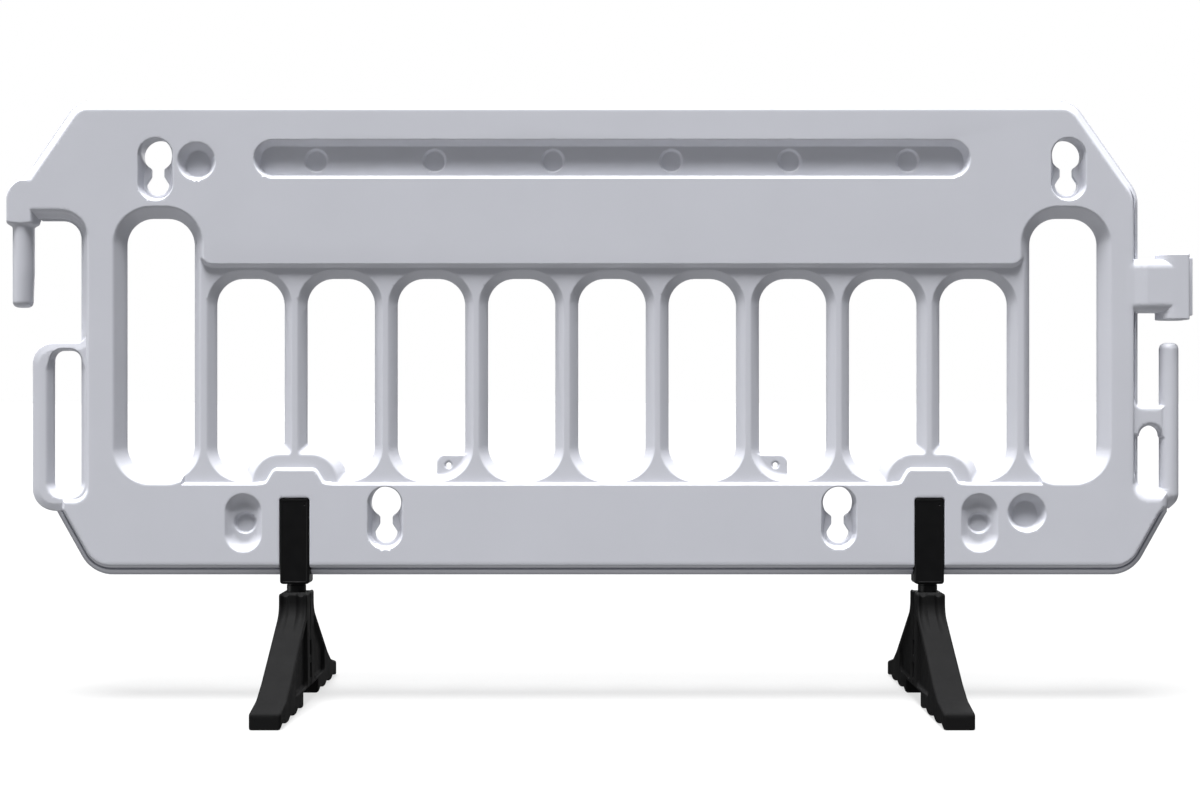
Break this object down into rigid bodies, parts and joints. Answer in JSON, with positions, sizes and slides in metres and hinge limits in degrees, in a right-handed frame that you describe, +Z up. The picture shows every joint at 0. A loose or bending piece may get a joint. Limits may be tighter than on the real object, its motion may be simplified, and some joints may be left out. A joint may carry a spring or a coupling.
{
  "type": "traffic barricade",
  "caption": "Interlocking pedestrian traffic barricade: a one-piece moulded plastic panel with rounded openings, a link hook and socket at its ends, and swivelling rubber feet.",
  "frame": {"origin": "on the ground, under the middle of the whole length and of the feet", "axes": "+Z up; +X along the panel towards the link socket; the panel's front faces -Y; at rest both feet point along Y, across the panel"},
  "size_m": [1.991, 0.52, 1.007],
  "materials": {
    "moulded_panel": "light grey blow-moulded polyethylene, fine satin texture",
    "foot_block": "black moulded nylon",
    "neck_bush": "black acetal bush",
    "foot": "black moulded recycled rubber, slightly dusty",
    "steel": "zinc-plated steel"
  },
  "bodies": {
    "barricade": {"panel": "moulded_panel", "left_foot_block": "foot_block", "right_foot_block": "foot_block", "left_spindle": "steel", "right_spindle": "steel", "left_cross_pin": "steel", "right_cross_pin": "steel", "left_retaining_clip": "steel", "right_retaining_clip": "steel"},
    "left_foot_unit": {"left_foot": "foot", "left_neck_bush": "neck_bush", "left_thrust_washer": "steel", "left_end_washer": "steel"},
    "right_foot_unit": {"right_foot": "foot", "right_neck_bush": "neck_bush", "right_thrust_washer": "steel", "right_end_washer": "steel"}
  },
  "joints": [
    {"name": "left_foot_swivel", "type": "hinge", "parent": "barricade", "child": "left_foot_unit", "pos_m": [-0.50835, 0, 0.19], "axis": [0, 0, 1], "range_deg": [-90, 90]},
    {"name": "right_foot_swivel", "type": "hinge", "parent": "barricade", "child": "right_foot_unit", "pos_m": [0.55165, 0, 0.19], "axis": [0, 0, 1], "range_deg": [-90, 90]}
  ]
}
